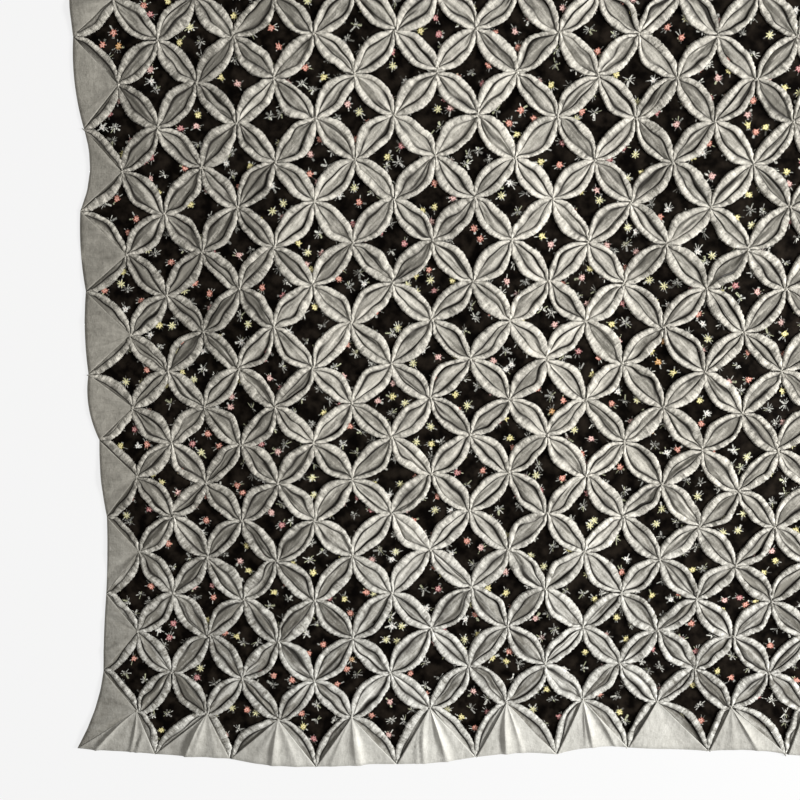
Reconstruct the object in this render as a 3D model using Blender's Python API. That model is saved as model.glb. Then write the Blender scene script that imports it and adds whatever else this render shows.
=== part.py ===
"""A cathedral windows quilt, laid face up.

180 folded squares are joined into one ground, 12 across and 15 up. The corners of each square are
tacked at its centre, so its folded edges meet along its diagonals. Over each seam between two squares
lies a window, and the folded edges round it are rolled inwards and stitched down. The rolled edges of
two windows make one petal, with a valley along its middle. The outer squares leave plain triangles
along the hem.

The quilt is shaped on an even grid whose lower left corner is at zero. Its points are first spread to
where the laid quilt has them, because the grid drifts and the hems wander. Then the petals are rolled
and a few soft folds rise off the floor. The origin ends up under the middle, on the floor, with X
across, Y towards the top hem and Z out of the face.
"""

import math
from collections import namedtuple

import bmesh
import bpy
from mathutils import Vector, noise

MM = 0.001

# The grid. A nine inch square finishes at about four inches
UNITS_ACROSS = 12
UNITS_UP = 15
UNIT_WIDTH = 100 * MM
UNIT_HEIGHT = 103 * MM
WIDTH = UNITS_ACROSS * UNIT_WIDTH
LENGTH = UNITS_UP * UNIT_HEIGHT
STEPS_ACROSS = 2 * UNITS_ACROSS
STEPS_UP = 2 * UNITS_UP
STEP_WIDTH = WIDTH / STEPS_ACROSS
STEP_HEIGHT = LENGTH / STEPS_UP

# Petals. A window's tips stop short of the petals' middle lines. Half a petal's width is a share of its
# length, and its crest lies that share of the way in from the belly to the middle line
TIP_SETBACK = 10.5 * MM
PETAL_SHARE = 0.255
HEM_PETAL_SHARE = 0.21
CREST_SHARE = 0.36

# Points added along the hem of each outer square
HEM_POINTS = 3

# Heights of the face above the back
TACKED_HEIGHT = 3.2 * MM
TIP_HEIGHT = 2.6 * MM
WINDOW_HEIGHT = 2.0 * MM
CREST_HEIGHT = 5.0 * MM
CREST_UNEVENNESS = 0.6 * MM
BORDER_HEIGHT = 3.4 * MM
HEM_HEIGHT = 1.6 * MM

# Where the joined squares have been pulled off their even grid, in millimetres from its lower left corner
Pull = namedtuple("Pull", "across up reach_across reach_up shift_across shift_up")
PULLS = (
    Pull(60, 640, 90, 170, 6, -13),
    Pull(40, 320, 60, 90, 9, 12),
    Pull(520, 300, 150, 190, 0, 14),
    Pull(420, 860, 130, 170, -2, 8),
    Pull(860, 420, 90, 270, 0, -12),
    Pull(290, 60, 110, 110, -10, -22),
    Pull(60, 30, 70, 60, -4, -10),
    Pull(740, 40, 90, 80, 3, 10),
    Pull(310, 420, 90, 190, -8, -4),
    Pull(560, 880, 150, 140, 7, 2),
    Pull(690, 600, 90, 90, -7, 2),
    Pull(1080, 520, 90, 260, -4, 9),
    Pull(250, 1240, 150, 130, 6, -9),
    Pull(720, 1290, 170, 120, -6, 9),
    Pull(1060, 1150, 100, 150, 5, -8),
)
WANDER = 2.4 * MM
WANDER_SPAN = 47 * MM
WANDER_START = Vector((0.3, 0.3, 7.3))
WANDER_SEED = 5

# One row for each tacked point of a hem: how far it lies from its place on the grid, and how far the hem
# after it bulges outwards, in millimetres. The right and top hems are these two turned half a turn
HemPoint = namedtuple("HemPoint", "across up bulge")
LEFT_HEM = (
    HemPoint(-38, -14, -6),
    HemPoint(2, -6, 1),
    HemPoint(10, 0, -1),
    HemPoint(15, 3, 3),
    HemPoint(9, 3, 7),
    HemPoint(-2, -12, 3),
    HemPoint(-1, -7, 3),
    HemPoint(-4, -7, -10),
    HemPoint(5, -7, 5),
    HemPoint(-4, 3, 2),
    HemPoint(-6, 2, -3),
    HemPoint(2, -2, 4),
    HemPoint(6, 3, 3),
    HemPoint(-3, 5, -2),
    HemPoint(-6, 9, 4),
    HemPoint(-30, 14, 0),
)
BOTTOM_HEM = (
    HemPoint(-38, -14, 0),
    HemPoint(-31, -22, 0),
    HemPoint(-28, -28, 4),
    HemPoint(-10, -38, -1),
    HemPoint(1, -34, 3),
    HemPoint(9, -22, -4),
    HemPoint(19, -18, -6),
    HemPoint(15, -7, 0),
    HemPoint(24, -11, -5),
    HemPoint(31, -16, 3),
    HemPoint(26, -12, -3),
    HemPoint(28, -20, 2),
    HemPoint(30, -14, 0),
)

# Soft folds that run up the quilt, in millimetres. Below the foot's height the cloth lies flat
Fold = namedtuple("Fold", "across up reach_across reach_up height")
FOLDS = (
    Fold(245, 480, 54, 260, 10),
    Fold(520, 720, 52, 110, 7),
    Fold(605, 330, 52, 110, 8),
    Fold(815, 560, 58, 240, 11),
    Fold(88, 345, 48, 90, 8),
    Fold(84, 800, 48, 70, 7),
    Fold(1040, 760, 56, 240, 9),
    Fold(400, 1230, 56, 180, 9),
    Fold(720, 1260, 58, 170, 8),
    Fold(130, 1180, 52, 150, 7),
)
FOLD_FOOT = 2

# Places where the bottom hem stands off the floor, in millimetres
Lift = namedtuple("Lift", "across up height")
LIFTS = (
    Lift(-10, -16, 2),
    Lift(318, -38, 3),
    Lift(531, -17, 3),
    Lift(667, -6, 3),
    Lift(742, -9, 2),
    Lift(851, -8, 3),
    Lift(1052, -15, 3),
)
LIFT_REACH = 22
LIFT_DEPTH = 40
LEAST_RISE = 0.5 * MM

# Finishes of the part's own view
GREY_CLOTH = (0.46, 0.44, 0.39, 1)
BLACK_PRINT = (0.012, 0.011, 0.010, 1)
CLOTH_ROUGHNESS = 0.9
SHARP_ANGLE = math.radians(35)


def bell(distance):
    """A soft bump: 1 in the middle and nearly 0 three reaches away."""
    return math.exp(-distance * distance / 2)


def hem_shift(hem, step, outward):
    """How far a hem has moved at a place given in half units along it."""
    first = min(int(step // 2), len(hem) - 2)
    along = step / 2 - first
    here, following = hem[first], hem[first + 1]
    across = here.across + (following.across - here.across) * along
    up = here.up + (following.up - here.up) * along
    bulge = 4 * along * (1 - along) * here.bulge
    return (Vector((across, up, 0)) + bulge * outward) * MM


def drift(x, y):
    """How far the pulls and a little unevenness move a point of the grid."""
    moved = Vector((0, 0, 0))
    for pull in PULLS:
        reach = bell((x / MM - pull.across) / pull.reach_across) * bell((y / MM - pull.up) / pull.reach_up)
        moved += Vector((pull.shift_across, pull.shift_up, 0)) * reach * MM
    wander = noise.noise_vector(Vector((x, y, 0)) / WANDER_SPAN + WANDER_START)
    return moved + Vector((wander.x, wander.y, 0)) * WANDER


def shift(x, y):
    """How far a point moves sideways: with the hems at the edges, and with the drift further in."""
    step, row = x / STEP_WIDTH, y / STEP_HEIGHT
    left = max(0, 1 - step)
    right = max(0, 1 - (STEPS_ACROSS - step))
    bottom = max(0, 1 - row)
    top = max(0, 1 - (STEPS_UP - row))
    moved = left * hem_shift(LEFT_HEM, row, Vector((-1, 0, 0)))
    moved -= right * hem_shift(LEFT_HEM, STEPS_UP - row, Vector((-1, 0, 0)))
    moved += bottom * hem_shift(BOTTOM_HEM, step, Vector((0, -1, 0)))
    moved -= top * hem_shift(BOTTOM_HEM, STEPS_ACROSS - step, Vector((0, -1, 0)))
    near_corner = Vector((LEFT_HEM[0].across, LEFT_HEM[0].up, 0)) * MM
    far_corner = Vector((LEFT_HEM[-1].across, LEFT_HEM[-1].up, 0)) * MM
    moved -= (left * bottom - right * top) * near_corner
    moved -= (left * top - right * bottom) * far_corner
    inside = (1 - left) * (1 - right) * (1 - bottom) * (1 - top)
    return moved + inside * drift(x, y)


def fold_height(x, y):
    """Height of the soft folds above their feet."""
    across, up = x / MM, y / MM
    height = sum(
        fold.height
        * bell((across - fold.across) / fold.reach_across)
        * bell((up - fold.up) / fold.reach_up)
        for fold in FOLDS
    )
    return max(0, height - FOLD_FOOT) * MM


def lift_height(x, y):
    """Height of the small lifts in the bottom hem."""
    across, up = x / MM, y / MM
    return MM * sum(
        lift.height * bell((across - lift.across) / LIFT_REACH) * bell((up - lift.up) / LIFT_DEPTH)
        for lift in LIFTS
    )


def rise(x, y):
    """How far the cloth stands off the floor. Where that is next to nothing, it lies flat."""
    height = fold_height(x, y) + lift_height(x, y)
    return height if height > LEAST_RISE else 0


def grid(mesh, across, up, height):
    """An even grid of faces over the whole quilt."""
    made = bmesh.ops.create_grid(mesh, x_segments=across, y_segments=up, size=0.5)
    bmesh.ops.scale(mesh, vec=(WIDTH, LENGTH, 1), verts=made["verts"])
    bmesh.ops.translate(mesh, vec=(WIDTH / 2, LENGTH / 2, height), verts=made["verts"])
    return faces_of(made["verts"])


def faces_of(verts):
    return list(dict.fromkeys(face for vert in verts for face in vert.link_faces))


def edges_of(faces, boundary):
    """The edges of some faces that lie on the open boundary, or else those that don't."""
    edges = dict.fromkeys(edge for face in faces for edge in face.edges)
    return [edge for edge in edges if edge.is_boundary == boundary]


def spread(verts):
    """Moves points of the even grid to where the laid quilt has them."""
    for vert in verts:
        vert.co += shift(vert.co.x, vert.co.y)


def windows_over_seams(mesh):
    """The joined squares: tacked at their centres, with each seam between two of them covered by a window."""
    squares = grid(mesh, UNITS_ACROSS, UNITS_UP, TACKED_HEIGHT)
    seams = edges_of(squares, boundary=False)
    tacks = bmesh.ops.poke(mesh, faces=squares)["verts"]
    bmesh.ops.dissolve_edges(mesh, edges=seams, use_verts=False)
    faces = faces_of(tacks)
    windows = [face for face in faces if len(face.verts) == 4]
    borders = [face for face in faces if len(face.verts) == 3]
    bmesh.ops.subdivide_edges(mesh, edges=edges_of(borders, boundary=True), cuts=HEM_POINTS)
    spread(mesh.verts)
    return windows, borders


def bend_belly(belly, window, share):
    """Moves the middle of one side of a window inwards, square to the petal beside it."""
    first, second = (edge.other_vert(belly).co for edge in belly.link_edges if edge in window.edges)
    inwards = (second - first).cross(Vector((0, 0, 1))).normalized()
    if inwards.dot(window.calc_center_median() - belly.co) < 0:
        inwards = -inwards
    length = (second - first).length + 2 * TIP_SETBACK
    belly.co += inwards * (share * length - TIP_SETBACK)
    belly.co.z = WINDOW_HEIGHT


def roll_rims(mesh, windows):
    """Insets each window, bends its sides in to the petals' bellies and raises the rolled edge round it."""
    rims = bmesh.ops.inset_individual(
        mesh, faces=windows, thickness=TIP_SETBACK, use_even_offset=True
    )["faces"]
    for window in windows:
        for tip in window.verts:
            tip.co.z = TIP_HEIGHT
    sides = [edge for window in windows for edge in window.edges]
    bellies = bmesh.ops.subdivide_edges(mesh, edges=sides, cuts=1)["geom_inner"]
    over_seams = set(windows)
    for belly in bellies:
        window = next(face for face in belly.link_faces if face in over_seams)
        rim = next(face for face in belly.link_faces if face not in over_seams)
        at_hem = any(vert.is_boundary for vert in rim.verts)
        bend_belly(belly, window, HEM_PETAL_SHARE if at_hem else PETAL_SHARE)
    for crest in bmesh.ops.poke(mesh, faces=rims)["verts"]:
        around = [edge.other_vert(crest) for edge in crest.link_edges]
        around.sort(key=lambda vert: vert.co.z)
        belly, valley = around[0].co, (around[-1].co + around[-2].co) / 2
        crest.co = belly.lerp(valley, CREST_SHARE)
        crest.co.z = CREST_HEIGHT + CREST_UNEVENNESS * noise.noise(crest.co / WANDER_SPAN)


def puff_borders(mesh, borders):
    """Brings the plain triangles down to the hem, with a low puff in the middle of each."""
    for border in borders:
        tack = next(vert for vert in border.verts if not vert.is_boundary)
        low = [vert.co for vert in border.verts if vert.is_boundary]
        for point in low:
            point.z = HEM_HEIGHT
        middle = sum(low, Vector()) / len(low)
        puff = bmesh.ops.poke(mesh, faces=[border])["verts"][0]
        puff.co = tack.co.lerp(middle, 0.5)
        puff.co.z = BORDER_HEIGHT


def close_back(mesh):
    """The back, in half units so that it follows the folds, joined to the face round the hem."""
    back = grid(mesh, STEPS_ACROSS, STEPS_UP, 0)
    bmesh.ops.subdivide_edges(mesh, edges=edges_of(back, boundary=True), cuts=(HEM_POINTS - 1) // 2)
    spread(vert for vert in mesh.verts if vert.co.z == 0)
    bmesh.ops.bridge_loops(mesh, edges=edges_of(mesh.faces, boundary=True))


def cloth(name, colour):
    material = bpy.data.materials.new(name)
    material.use_nodes = True
    shader = material.node_tree.nodes["Principled BSDF"]
    shader.inputs["Base Color"].default_value = colour
    shader.inputs["Roughness"].default_value = CLOTH_ROUGHNESS
    shader.inputs["Metallic"].default_value = 0
    material.diffuse_color = colour
    return material


def quilt():
    """The whole quilt as one closed solid."""
    mesh = bmesh.new()
    windows, borders = windows_over_seams(mesh)
    roll_rims(mesh, windows)
    puff_borders(mesh, borders)
    for window in windows:
        window.material_index = 1
    close_back(mesh)
    for vert in mesh.verts:
        vert.co.z += rise(vert.co.x, vert.co.y)
    bmesh.ops.translate(mesh, vec=(-WIDTH / 2, -LENGTH / 2, 0), verts=mesh.verts[:])
    bmesh.ops.triangulate(mesh, faces=mesh.faces[:], quad_method="BEAUTY", ngon_method="BEAUTY")
    bmesh.ops.recalc_face_normals(mesh, faces=mesh.faces[:])
    if mesh.calc_volume(signed=True) < 0:
        bmesh.ops.reverse_faces(mesh, faces=mesh.faces[:])
    data = bpy.data.meshes.new("quilt")
    mesh.to_mesh(data)
    mesh.free()
    data.materials.append(cloth("grey cotton", GREY_CLOTH))
    data.materials.append(cloth("black print", BLACK_PRINT))
    data.shade_smooth()
    data.set_sharp_from_angle(angle=SHARP_ANGLE)
    return bpy.data.objects.new("quilt", data)


noise.seed_set(WANDER_SEED)
for old in list(bpy.data.objects):
    bpy.data.objects.remove(old)
pieces = bpy.data.collections.new("cathedral windows quilt")
bpy.context.scene.collection.children.link(pieces)
pieces.objects.link(quilt())
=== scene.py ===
# %% [markdown]
# # A cathedral windows quilt, dressed
#
# This quilt is folded rather than pieced. A square of plain cloth has its corners brought to its middle,
# twice, and is tacked there. The folded squares are sewn edge to edge, a patch of print is laid over each
# seam, and the folded edges around the patch are rolled over it and stitched down. Two rolled edges from
# neighbouring patches make one petal, and four petals make the rings that the eye reads as windows.
#
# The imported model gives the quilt's size and its soft folds. This lesson lays the real cloth over it:
# petals, patches, hem, back and thread, and then a finish for each.

# %% Load the frame
import math
from collections import namedtuple

import bmesh
import bpy
import numpy as np
from mathutils import Matrix, Vector, noise


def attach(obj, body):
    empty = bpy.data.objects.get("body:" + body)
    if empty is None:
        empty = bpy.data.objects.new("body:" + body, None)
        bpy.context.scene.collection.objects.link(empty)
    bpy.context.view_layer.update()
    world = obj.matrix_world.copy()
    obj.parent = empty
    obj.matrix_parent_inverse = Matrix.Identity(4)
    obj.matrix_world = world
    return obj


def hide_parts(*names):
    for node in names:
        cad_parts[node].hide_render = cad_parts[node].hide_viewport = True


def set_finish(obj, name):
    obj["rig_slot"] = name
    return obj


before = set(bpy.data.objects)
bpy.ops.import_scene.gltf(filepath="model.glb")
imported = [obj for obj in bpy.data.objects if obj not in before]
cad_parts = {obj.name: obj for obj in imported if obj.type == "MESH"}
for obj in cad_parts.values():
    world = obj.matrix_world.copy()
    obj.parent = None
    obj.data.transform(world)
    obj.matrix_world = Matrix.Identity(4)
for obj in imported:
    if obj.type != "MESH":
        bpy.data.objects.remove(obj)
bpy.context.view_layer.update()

MM = 0.001

# %% [markdown]
# ## The grid of folded squares
#
# Everything on this quilt hangs on the points where it is tacked: the middle of each folded square and
# the corners where four squares meet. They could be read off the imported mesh, but that would tie the
# lesson to its triangles. So the grid is worked out again from the same few sizes. It is counted in half
# squares: corners have two even numbers, middles have two odd ones.

# %% The grid
UNITS_ACROSS = 12
UNITS_UP = 15
UNIT_WIDTH = 100 * MM
UNIT_HEIGHT = 103 * MM
WIDTH = UNITS_ACROSS * UNIT_WIDTH
LENGTH = UNITS_UP * UNIT_HEIGHT
STEPS_ACROSS = 2 * UNITS_ACROSS
STEPS_UP = 2 * UNITS_UP
STEP_WIDTH = WIDTH / STEPS_ACROSS
STEP_HEIGHT = LENGTH / STEPS_UP
print(f"{UNITS_ACROSS * UNITS_UP} folded squares, {WIDTH:.3f} by {LENGTH:.3f} m before they are pulled about")

# %% [markdown]
# ## Pulled off the square
#
# Hand sewing never stays on its grid. Here the rows bow, some squares are pulled towards a corner, and
# the hem flares out at the quilt's corners. Random jitter would look like noise, so the larger pulls are
# a short table of soft bumps, each with its place, reach and direction. The hem has one row for each
# corner of a square on it. These tables are in millimetres, and their places are counted from the grid's
# lower left corner. A little smooth noise on top keeps any two squares from being alike.

# %% Pulls and hems
Pull = namedtuple("Pull", "across up reach_across reach_up shift_across shift_up")
PULLS = (
    Pull(60, 640, 90, 170, 6, -13),
    Pull(40, 320, 60, 90, 9, 12),
    Pull(520, 300, 150, 190, 0, 14),
    Pull(420, 860, 130, 170, -2, 8),
    Pull(860, 420, 90, 270, 0, -12),
    Pull(290, 60, 110, 110, -10, -22),
    Pull(60, 30, 70, 60, -4, -10),
    Pull(740, 40, 90, 80, 3, 10),
    Pull(310, 420, 90, 190, -8, -4),
    Pull(560, 880, 150, 140, 7, 2),
    Pull(690, 600, 90, 90, -7, 2),
    Pull(1080, 520, 90, 260, -4, 9),
    Pull(250, 1240, 150, 130, 6, -9),
    Pull(720, 1290, 170, 120, -6, 9),
    Pull(1060, 1150, 100, 150, 5, -8),
)
WANDER = 2.4 * MM
WANDER_SPAN = 47 * MM
WANDER_START = Vector((0.3, 0.3, 7.3))
WANDER_SEED = 5

HemPoint = namedtuple("HemPoint", "across up bulge")
LEFT_HEM = (
    HemPoint(-38, -14, -6),
    HemPoint(2, -6, 1),
    HemPoint(10, 0, -1),
    HemPoint(15, 3, 3),
    HemPoint(9, 3, 7),
    HemPoint(-2, -12, 3),
    HemPoint(-1, -7, 3),
    HemPoint(-4, -7, -10),
    HemPoint(5, -7, 5),
    HemPoint(-4, 3, 2),
    HemPoint(-6, 2, -3),
    HemPoint(2, -2, 4),
    HemPoint(6, 3, 3),
    HemPoint(-3, 5, -2),
    HemPoint(-6, 9, 4),
    HemPoint(-30, 14, 0),
)
BOTTOM_HEM = (
    HemPoint(-38, -14, 0),
    HemPoint(-31, -22, 0),
    HemPoint(-28, -28, 4),
    HemPoint(-10, -38, -1),
    HemPoint(1, -34, 3),
    HemPoint(9, -22, -4),
    HemPoint(19, -18, -6),
    HemPoint(15, -7, 0),
    HemPoint(24, -11, -5),
    HemPoint(31, -16, 3),
    HemPoint(26, -12, -3),
    HemPoint(28, -20, 2),
    HemPoint(30, -14, 0),
)


def bell(distance):
    """A soft bump: 1 in the middle and nearly 0 three reaches away."""
    return np.exp(-distance * distance / 2)


def hem_shift(hem, step, outward):
    """How far a hem has moved at a place given in half squares along it."""
    first = min(int(step // 2), len(hem) - 2)
    along = step / 2 - first
    here, following = hem[first], hem[first + 1]
    across = here.across + (following.across - here.across) * along
    up = here.up + (following.up - here.up) * along
    bulge = 4 * along * (1 - along) * here.bulge
    return (Vector((across, up, 0)) + bulge * outward) * MM


def drift(x, y):
    """How far the pulls and a little unevenness move a point of the grid."""
    moved = Vector((0, 0, 0))
    for pull in PULLS:
        reach = bell((x / MM - pull.across) / pull.reach_across) * bell((y / MM - pull.up) / pull.reach_up)
        moved += Vector((pull.shift_across, pull.shift_up, 0)) * reach * MM
    wander = noise.noise_vector(Vector((x, y, 0)) / WANDER_SPAN + WANDER_START)
    return moved + Vector((wander.x, wander.y, 0)) * WANDER


def shift(x, y):
    """How far a point moves sideways: with the hems at the edges, and with the drift further in."""
    step, row = x / STEP_WIDTH, y / STEP_HEIGHT
    left = max(0, 1 - step)
    right = max(0, 1 - (STEPS_ACROSS - step))
    bottom = max(0, 1 - row)
    top = max(0, 1 - (STEPS_UP - row))
    moved = left * hem_shift(LEFT_HEM, row, Vector((-1, 0, 0)))
    moved -= right * hem_shift(LEFT_HEM, STEPS_UP - row, Vector((-1, 0, 0)))
    moved += bottom * hem_shift(BOTTOM_HEM, step, Vector((0, -1, 0)))
    moved -= top * hem_shift(BOTTOM_HEM, STEPS_ACROSS - step, Vector((0, -1, 0)))
    near_corner = Vector((LEFT_HEM[0].across, LEFT_HEM[0].up, 0)) * MM
    far_corner = Vector((LEFT_HEM[-1].across, LEFT_HEM[-1].up, 0)) * MM
    moved -= (left * bottom - right * top) * near_corner
    moved -= (left * top - right * bottom) * far_corner
    inside = (1 - left) * (1 - right) * (1 - bottom) * (1 - top)
    return moved + inside * drift(x, y)


def laid(step, row):
    """Where a place of the grid, in half squares, lies on the floor, measured from the quilt's middle."""
    x, y = float(step) * STEP_WIDTH, float(row) * STEP_HEIGHT
    moved = shift(x, y)
    return (x + moved.x - WIDTH / 2, y + moved.y - LENGTH / 2)


noise.seed_set(WANDER_SEED)
tacked = {
    (step, row): np.array(laid(step, row))
    for step in range(STEPS_ACROSS + 1)
    for row in range(STEPS_UP + 1)
    if (step + row) % 2 == 0
}
print(len(tacked), "tacked points and hem corners")

# %% [markdown]
# ## Soft folds
#
# A laid quilt keeps a few long soft ridges from the way it was folded away. They rise a finger's width
# or less and fade into flat cloth, and every layer rides up with them. So the rise is one function of
# place, which each piece adds to its own height once it is shaped. It works on whole arrays of points.

# %% Folds and lifted hem
Fold = namedtuple("Fold", "across up reach_across reach_up height")
FOLDS = (
    Fold(245, 480, 54, 260, 10),
    Fold(520, 720, 52, 110, 7),
    Fold(605, 330, 52, 110, 8),
    Fold(815, 560, 58, 240, 11),
    Fold(88, 345, 48, 90, 8),
    Fold(84, 800, 48, 70, 7),
    Fold(1040, 760, 56, 240, 9),
    Fold(400, 1230, 56, 180, 9),
    Fold(720, 1260, 58, 170, 8),
    Fold(130, 1180, 52, 150, 7),
)
FOLD_FOOT = 2
Lift = namedtuple("Lift", "across up height")
LIFTS = (
    Lift(-10, -16, 2),
    Lift(318, -38, 3),
    Lift(531, -17, 3),
    Lift(667, -6, 3),
    Lift(742, -9, 2),
    Lift(851, -8, 3),
    Lift(1052, -15, 3),
)
LIFT_REACH = 22
LIFT_DEPTH = 40


def rise(x, y):
    """How far the folds and the lifted hem raise the cloth, for arrays of places in the part's frame."""
    across, up = (x + WIDTH / 2) / MM, (y + LENGTH / 2) / MM
    folds = sum(
        fold.height * bell((across - fold.across) / fold.reach_across) * bell((up - fold.up) / fold.reach_up)
        for fold in FOLDS
    )
    lifts = sum(
        lift.height * bell((across - lift.across) / LIFT_REACH) * bell((up - lift.up) / LIFT_DEPTH)
        for lift in LIFTS
    )
    return (np.maximum(0, folds - FOLD_FOOT) + lifts) * MM


highest = max(FOLDS, key=lambda fold: fold.height)
risen = rise(highest.across * MM - WIDTH / 2, highest.up * MM - LENGTH / 2)
print(f"the highest fold rises {risen / MM:.1f} mm")

# %% [markdown]
# ## From flat grids to cloth
#
# There are 716 petals and no two are the same, so neither copies nor a modifier would do. Each starts as
# a flat grid from create_grid. The grids of one piece are stacked in one bmesh, each at its own height,
# so that a point's height says which petal it belongs to. Once they are a mesh, numpy can read all the
# points at once, bend them into petals and write them back, which takes a moment instead of minutes.

# %% Stacked grids
def mesh_data(name, mesh):
    """Turns a finished bmesh into a mesh that an object can have."""
    data = bpy.data.meshes.new(name)
    mesh.to_mesh(data)
    mesh.free()
    return data


def stacked_grids(name, count, along, across):
    """A mesh of flat grids one above another. Each is one unit square, and its height is its number."""
    mesh = bmesh.new()
    for number in range(count):
        bmesh.ops.create_grid(
            mesh,
            x_segments=along,
            y_segments=across,
            size=0.5,
            matrix=Matrix.Translation((0.5, 0.5, number)),
        )
    return mesh_data(name, mesh)


def points_of(data):
    places = np.empty(len(data.vertices) * 3, np.float32)
    data.vertices.foreach_get("co", places)
    return places.reshape(-1, 3).astype(float)


def nearest(numbers):
    return np.rint(numbers).astype(int)


def move_points(data, x, y, z):
    """Writes shaped points back, raised by the soft folds."""
    places = np.stack([x, y, z + rise(x, y)], axis=1)
    data.vertices.foreach_set("co", places.astype(np.float32).ravel())
    data.update()


def remember(data, **kept):
    """Keeps a number or a vector for each point, for the finishes to read. A lone number goes to all."""
    for name, values in kept.items():
        values = np.asarray(values, np.float32)
        if values.ndim == 0:
            values = np.full(len(data.vertices), values)
        kind, key = ("FLOAT", "value") if values.ndim == 1 else ("FLOAT_VECTOR", "vector")
        data.attributes.new(name, kind, "POINT").data.foreach_set(key, values.ravel())


pieces = []


def piece(data, slot):
    """An object at the origin that rides on the quilt's one body."""
    data.shade_smooth()
    made = bpy.data.objects.new(data.name, data)
    bpy.context.scene.collection.objects.link(made)
    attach(made, "root")
    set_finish(made, slot)
    pieces.append(made)
    return made


# %% [markdown]
# ## A petal in section
#
# Cut across, a petal is two rolled edges with a shallow hollow between them. Each roll is a soft half
# round, about a centimetre wide, which hangs a little over the hollow and makes the thin dark crease
# beside it, and which tucks under itself where it meets the patch. The table goes from the petal's middle
# line out to the patch. The other side is its mirror image. Its first column counts across the hollow up
# to 1 and its second across the roll, and height is a share of the roll's own. The last column is painted
# shade: how much the colour of each line of points is darkened, most in the crease under the lip and
# under the roll's tucked foot, where shadow falls.

# %% The section
Section = namedtuple("Section", "hollow roll height shade")
SECTION = (
    Section(0, 0, 0, 0),
    Section(0.32, 0, 0, 0),
    Section(0.6, 0, 0, 0.15),
    Section(0.82, 0, 0, 1),
    Section(1, 0.1, 0, 1),
    Section(1, 0.0, 0.42, 1),
    Section(1, 0.12, 0.63, 0.4),
    Section(1, 0.45, 0.85, 0),
    Section(1, 0.84, 1, 0.1),
    Section(1, 1.0, 0.5, 0.5),
    Section(1, 0.93, 0, 1),
)
HALF_COLUMNS = len(SECTION) - 1
CREASE, LIP, CREST, FOOT = 4, 5, 8, 9
ROWS = 24
print("points in a whole petal:", (2 * HALF_COLUMNS + 1) * (ROWS + 1))

# %% [markdown]
# ## Where each petal runs
#
# A petal runs from the middle of a square to one of its corners. On each side lies a patch, except along
# the hem, where one side is the plain edge triangle and only the other has a roll. At the quilt's own
# corners neither side has one. At both ends the petal is pinched between its neighbours, so it also needs
# the angle to each of them: half of that angle is where the two touch.

# %% Petals of the grid
Petal = namedtuple("Petal", "start end left right row")


def has_patch(step, row):
    return 0 < step < STEPS_ACROSS and 0 < row < STEPS_UP


def slope_between(corner, along, beside):
    """How fast a petal widens from its tacked end before it parts from its neighbour."""
    first = tacked[along] - tacked[corner]
    second = tacked[beside] - tacked[corner]
    turn = abs(math.atan2(first[0] * second[1] - first[1] * second[0], first @ second))
    return math.tan(turn / 2)


def petal_between(start, end, sides, row):
    """A petal with each side's slopes at its two ends. A side without a patch repeats the other's."""
    across, up = end[0] - start[0], end[1] - start[1]
    left, right = (
        [
            slope_between(corner, other, (corner[0] - turn * up, corner[1] + turn * across))
            for corner, other in ((start, end), (end, start))
        ]
        for turn in ((1, -1) if sides == 2 else (1, 1))
    )
    return Petal(tacked[start], tacked[end], left, right, row)


whole_petals = []
hem_petals = []
for unit_row in range(UNITS_UP):
    for unit in range(UNITS_ACROSS):
        middle = (2 * unit + 1, 2 * unit_row + 1)
        for across, up in ((1, 1), (-1, 1), (-1, -1), (1, -1)):
            corner = (middle[0] + across, middle[1] + up)
            left_patch = has_patch(*((middle[0], corner[1]) if across == up else (corner[0], middle[1])))
            right_patch = has_patch(*((corner[0], middle[1]) if across == up else (middle[0], corner[1])))
            if left_patch and right_patch:
                whole_petals.append(petal_between(middle, corner, 2, unit_row))
            elif left_patch:
                hem_petals.append(petal_between(middle, corner, 1, unit_row))
            elif right_patch:
                hem_petals.append(petal_between(corner, middle, 1, unit_row))
print(len(whole_petals), "whole petals,", len(hem_petals), "petals with one roll along the hem")

# %% [markdown]
# ## Uneven by hand
#
# On the real thing the outline of a petal wobbles, each stitch pulls a small notch into the roll about
# every 6 mm, and the hollow is smooth in some petals and puckered lengthways in others. Each of these is
# a few slow waves whose phases and heights are drawn once for each petal from a seeded generator, so the
# quilt comes out the same each time. The rows of points are drawn a little uneven too.

# %% Waves and rows
HAND_SEED = 11
WAVE_BLUNTNESS = 0.7
PETAL_GAPS = (-2 * MM, 2.6 * MM)
ROW_SPREAD = 0.16
Waves = namedtuple("Waves", "halves size")
Lie = namedtuple("Lie", "start direction normal length along run")

hand = np.random.default_rng(HAND_SEED)


def wobble(along, waves):
    """Waves along each petal that die away at its ends, each counted in half waves from end to end."""
    total = np.zeros_like(along)
    for halves in waves.halves:
        phase = hand.uniform(0, 2 * np.pi, (len(along), 1))
        height = hand.normal(0, waves.size / halves, (len(along), 1))
        total += height * np.sin(np.pi * halves * along + phase)
    return total * np.sin(np.pi * np.clip(along, 0, 1)) ** WAVE_BLUNTNESS


def lie_of(petals):
    """Where petals lie, and where their rows fall along them: as a share, and as a run in metres."""
    start = np.array([petal.start for petal in petals])
    end = np.array([petal.end for petal in petals])
    length = np.linalg.norm(end - start, axis=1)[:, None]
    direction = (end - start) / length
    normal = np.stack([-direction[:, 1], direction[:, 0]], axis=1)
    even = np.tile(np.linspace(0, 1, ROWS + 1), (len(petals), 1))
    along = even + hand.normal(0, ROW_SPREAD / ROWS, even.shape) * (even > 0) * (even < 1)
    gaps = hand.uniform(*PETAL_GAPS, (len(petals), 2))
    run = gaps[:, :1] + along * (length - gaps[:, :1] - gaps[:, 1:])
    return Lie(start, direction, normal, length, along, run)


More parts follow.
